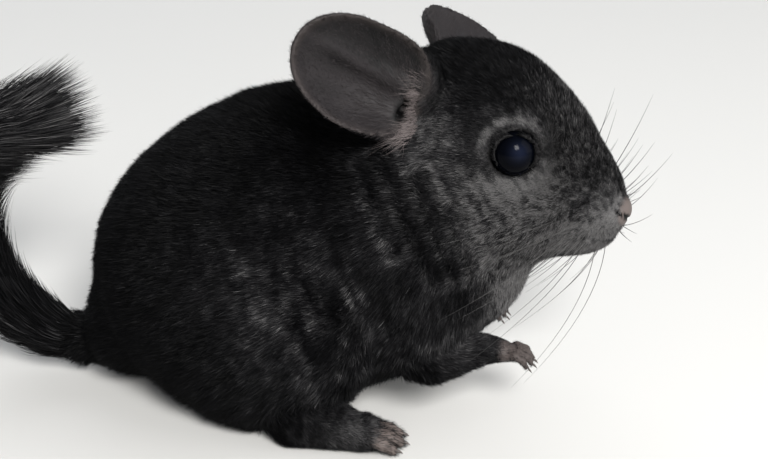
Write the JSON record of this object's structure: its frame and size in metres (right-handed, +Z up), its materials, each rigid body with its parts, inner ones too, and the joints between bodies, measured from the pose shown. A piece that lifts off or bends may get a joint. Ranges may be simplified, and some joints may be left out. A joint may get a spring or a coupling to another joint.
{
  "type": "chinchilla",
  "caption": "Young black chinchilla at life size, sitting on its haunches with one forepaw held out, round cupped ears and a bushy tail curled up behind: a still display model.",
  "frame": {"origin": "on the floor, below the middle of the whole outline", "axes": "+Z up from the floor, +X the way the animal faces, +Y to its left side"},
  "size_m": [0.1584, 0.085, 0.0946],
  "materials": {
    "coat": "dense velvety charcoal-black fur",
    "paws": "matt pinkish-grey skin with sparse hair",
    "ears": "thin matt grey skin",
    "eyes": "wet gloss, blue-black",
    "tail_hair": "long coarse dark hair"
  },
  "bodies": {
    "root": {"torso": "coat", "neck": "coat", "head": "coat", "hind_leg_right": "coat", "hind_leg_left": "coat", "fore_leg_right": "coat", "fore_leg_left": "coat", "hind_foot_right": "paws", "hind_foot_left": "paws", "forepaw_right": "paws", "forepaw_left": "paws", "ear_right": "ears", "ear_left": "ears", "eye_right": "eyes", "eye_left": "eyes", "tail_base": "tail_hair", "tail_middle": "tail_hair", "tail_tip": "tail_hair"}
  },
  "joints": []
}
